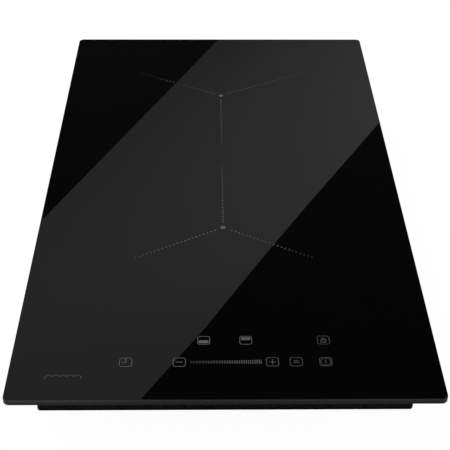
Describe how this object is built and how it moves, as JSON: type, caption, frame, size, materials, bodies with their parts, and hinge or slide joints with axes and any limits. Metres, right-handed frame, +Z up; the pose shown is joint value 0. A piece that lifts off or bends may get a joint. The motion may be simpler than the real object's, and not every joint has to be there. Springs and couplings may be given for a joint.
{
  "type": "built-in induction cooktop",
  "caption": "Narrow built-in induction cooktop: flat black glass with touch keys over a stepped steel tray that holds coils, power electronics and a cooling fan.",
  "frame": {"origin": "middle of the glass's outline, on the underside of the base tray", "axes": "+Z up out of the worktop, +Y to the back, so the touch keys are at -Y, +X to the user's right"},
  "size_m": [0.288, 0.52, 0.06],
  "materials": {
    "black_glass": "polished, opaque black",
    "seal_foam": "closed-cell foam",
    "silicone": "cured bead",
    "zinc_steel": "zinc plated",
    "powder_coat": "fine textured powder coat",
    "black_moulding": "moulded, fine spark texture",
    "sheet_aluminium": "mill finish",
    "former_moulding": "glass-filled moulding",
    "litz_copper": "enamelled stranded copper",
    "ferrite": "sintered",
    "mica_sheet": "pressed mica",
    "grey_silicone": "silicone rubber",
    "lead_sleeve": "woven glass sleeve",
    "circuit_board": "solder mask",
    "device_moulding": "epoxy package",
    "capacitor_case": "boxed film capacitor",
    "choke_copper": "enamelled wire",
    "fuse_body": "ceramic cartridge",
    "terminal_moulding": "moulded",
    "wire_sleeve": "insulation",
    "flat_cable": "flat cable",
    "touch_foam": "conductive foam",
    "display_face": "dark display face",
    "bearing_bronze": "sintered sleeve",
    "rotor_magnet": "bonded magnet",
    "stator_core": "wound core",
    "shaft_steel": "ground"
  },
  "bodies": {
    "case": {"glass_top": "black_glass", "worktop_seal": "seal_foam", "glass_bond": "silicone", "glass_frame": "zinc_steel", "frame_screws": "zinc_steel", "base_tray": "powder_coat", "exhaust_grille": "black_moulding", "fan_guard": "black_moulding", "fan_frame": "black_moulding", "fan_bearing": "bearing_bronze", "fan_stator": "stator_core", "fan_screws": "zinc_steel", "power_board": "circuit_board", "filter_board": "circuit_board", "board_standoffs": "zinc_steel", "coil_plate": "sheet_aluminium", "coil_plate_posts": "zinc_steel", "chassis_screws": "zinc_steel", "coil_leads": "lead_sleeve", "heat_sink": "sheet_aluminium", "igbt_packages": "device_moulding", "bridge_rectifier": "device_moulding", "resonant_capacitors": "capacitor_case", "smoothing_capacitors": "capacitor_case", "filter_capacitors": "capacitor_case", "supply_transformer": "ferrite", "choke_core": "ferrite", "choke_winding": "choke_copper", "mains_fuse": "fuse_body", "terminal_block": "terminal_moulding", "terminal_screws": "zinc_steel", "mains_wires": "wire_sleeve", "cable_gland": "black_moulding", "control_carrier": "terminal_moulding", "control_board": "circuit_board", "touch_pillars": "touch_foam", "display_modules": "display_face", "buzzer": "device_moulding", "ribbon_cable": "flat_cable", "clamp_screws": "zinc_steel", "front_coil_former": "former_moulding", "front_coil_winding": "litz_copper", "front_coil_ferrites": "ferrite", "front_coil_mica": "mica_sheet", "front_coil_sensor": "grey_silicone", "front_coil_buffers": "grey_silicone", "rear_coil_former": "former_moulding", "rear_coil_winding": "litz_copper", "rear_coil_ferrites": "ferrite", "rear_coil_mica": "mica_sheet", "rear_coil_sensor": "grey_silicone", "rear_coil_buffers": "grey_silicone"},
    "fan_rotor": {"fan_impeller": "black_moulding", "fan_magnet": "rotor_magnet", "fan_shaft": "shaft_steel"},
    "left_front_clamp": {"clamp_left_front": "zinc_steel"},
    "left_rear_clamp": {"clamp_left_rear": "zinc_steel"},
    "right_front_clamp": {"clamp_right_front": "zinc_steel"},
    "right_rear_clamp": {"clamp_right_rear": "zinc_steel"}
  },
  "joints": [
    {"name": "fan_spin", "type": "hinge", "parent": "case", "child": "fan_rotor", "pos_m": [-0.062, 0.15, 0.015], "axis": [0, 0, 1], "continuous": true},
    {"name": "left_front_clamp_slide", "type": "slide", "parent": "case", "child": "left_front_clamp", "axis": [0, 0, 1], "range_m": [-0.01, 0.005]},
    {"name": "left_rear_clamp_slide", "type": "slide", "parent": "case", "child": "left_rear_clamp", "axis": [0, 0, 1], "range_m": [-0.01, 0.005]},
    {"name": "right_front_clamp_slide", "type": "slide", "parent": "case", "child": "right_front_clamp", "axis": [0, 0, 1], "range_m": [-0.01, 0.005]},
    {"name": "right_rear_clamp_slide", "type": "slide", "parent": "case", "child": "right_rear_clamp", "axis": [0, 0, 1], "range_m": [-0.01, 0.005]}
  ]
}
